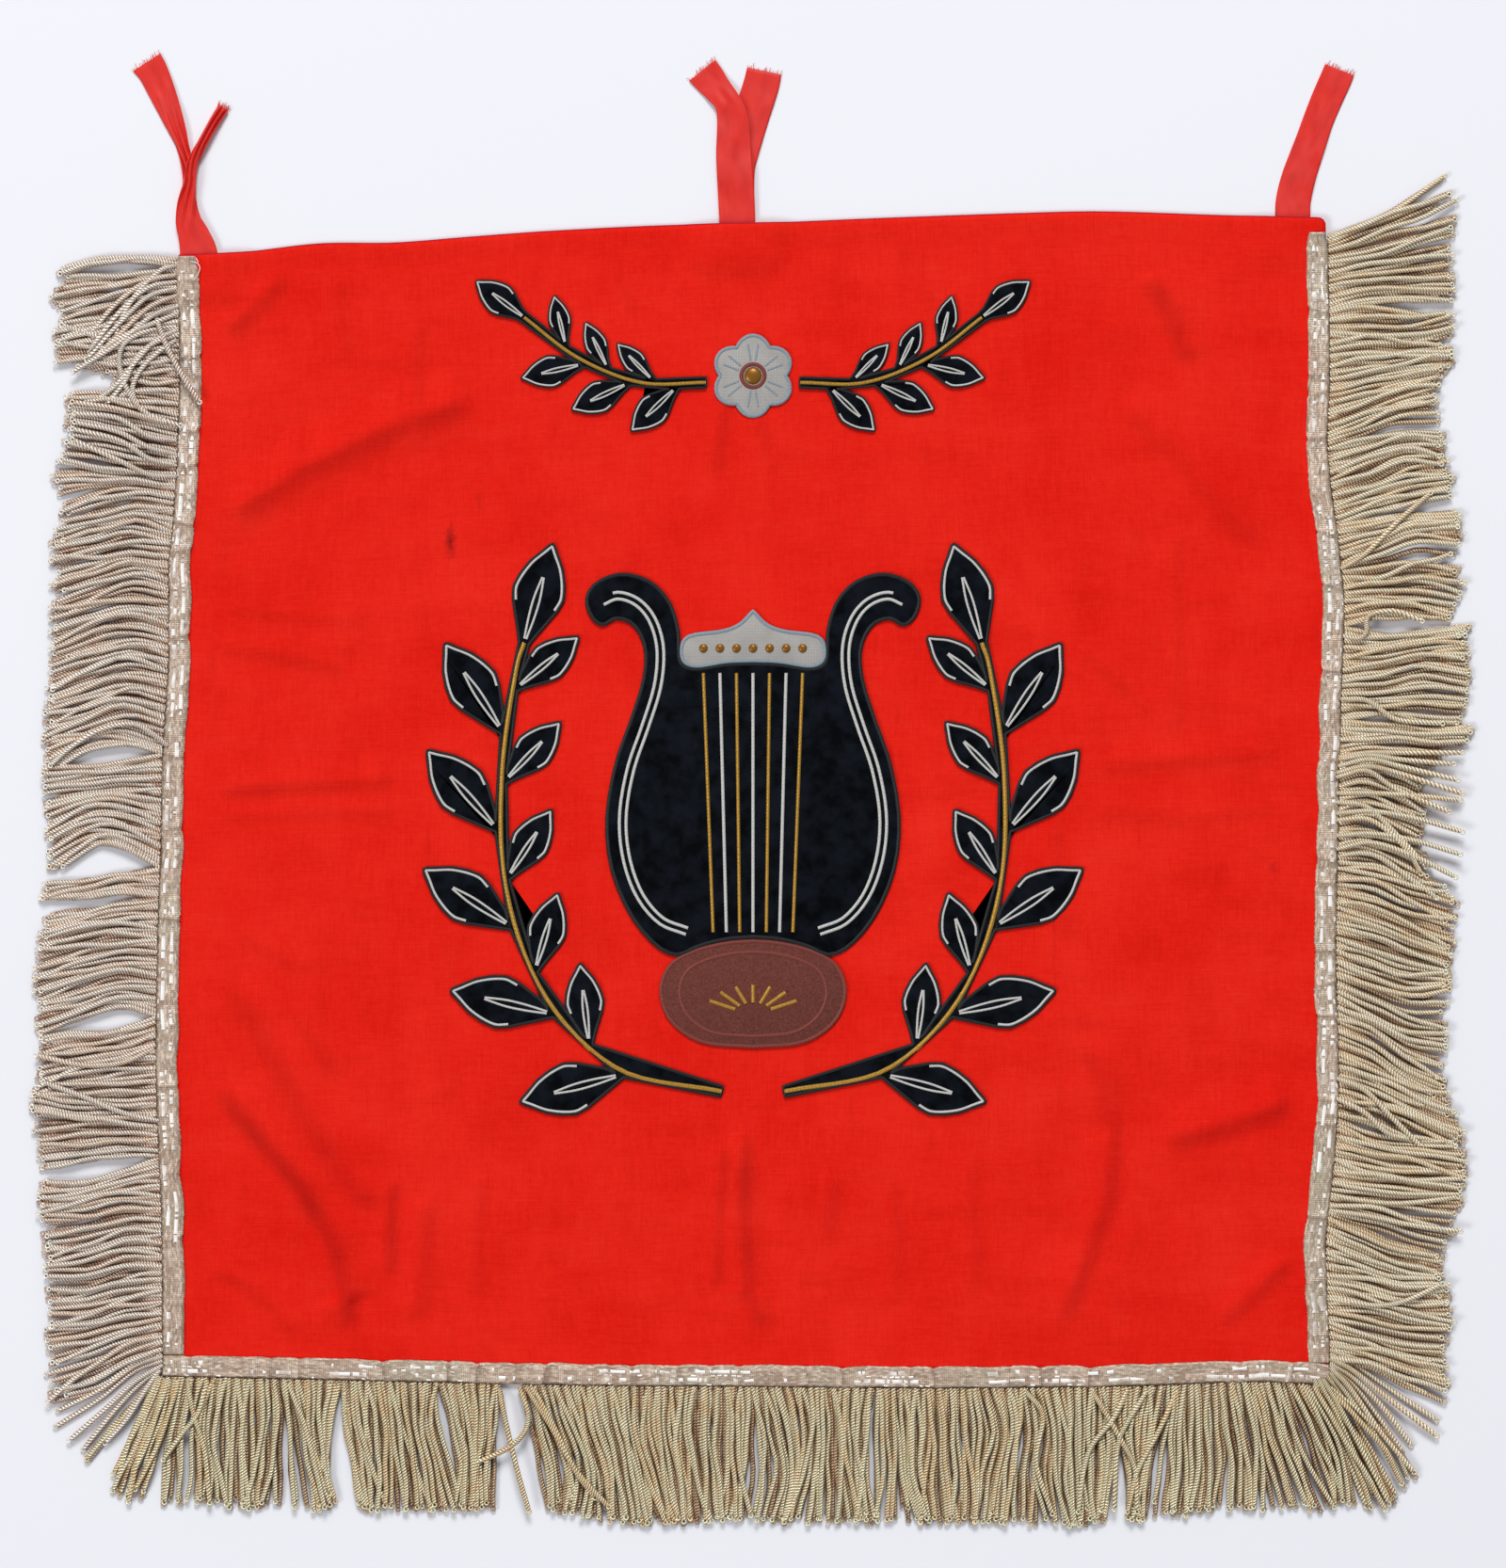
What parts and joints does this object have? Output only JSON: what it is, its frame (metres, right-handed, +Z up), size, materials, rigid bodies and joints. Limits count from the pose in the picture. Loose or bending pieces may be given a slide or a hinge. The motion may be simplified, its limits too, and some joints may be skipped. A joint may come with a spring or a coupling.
{
  "type": "trumpet banner",
  "caption": "Square cloth banner for a fanfare trumpet, laid flat, with a sewn-on lyre and leaf design, a bullion fringe on its sides and foot, and ribbon ties along its top.",
  "frame": {"origin": "on the underside of the cloth, below the middle of the field", "axes": "+X to the banner's right as it is looked at, +Y towards the ties, +Z up out of the face"},
  "size_m": [0.6392, 0.657, 0.0059],
  "materials": {
    "red_cloth": "plain-woven cloth, matt",
    "red_ribbon": "satin ribbon, soft sheen",
    "silver_bullion": "twisted metal-wound cord, tarnished silver",
    "black_velvet": "short-pile velvet",
    "brown_felt": "felt",
    "grey_cloth": "plain cloth, matt"
  },
  "bodies": {
    "root": {"cloth": "red_cloth", "fringe_left": "silver_bullion", "fringe_bottom": "silver_bullion", "fringe_right": "silver_bullion", "tie_left": "red_ribbon", "tie_centre": "red_ribbon", "tie_right": "red_ribbon", "lyre_body": "black_velvet", "lyre_bowl": "brown_felt", "lyre_yoke": "grey_cloth", "spray_left": "black_velvet", "spray_right": "black_velvet", "festoon_left": "black_velvet", "festoon_right": "black_velvet", "festoon_flower": "grey_cloth"}
  },
  "joints": []
}
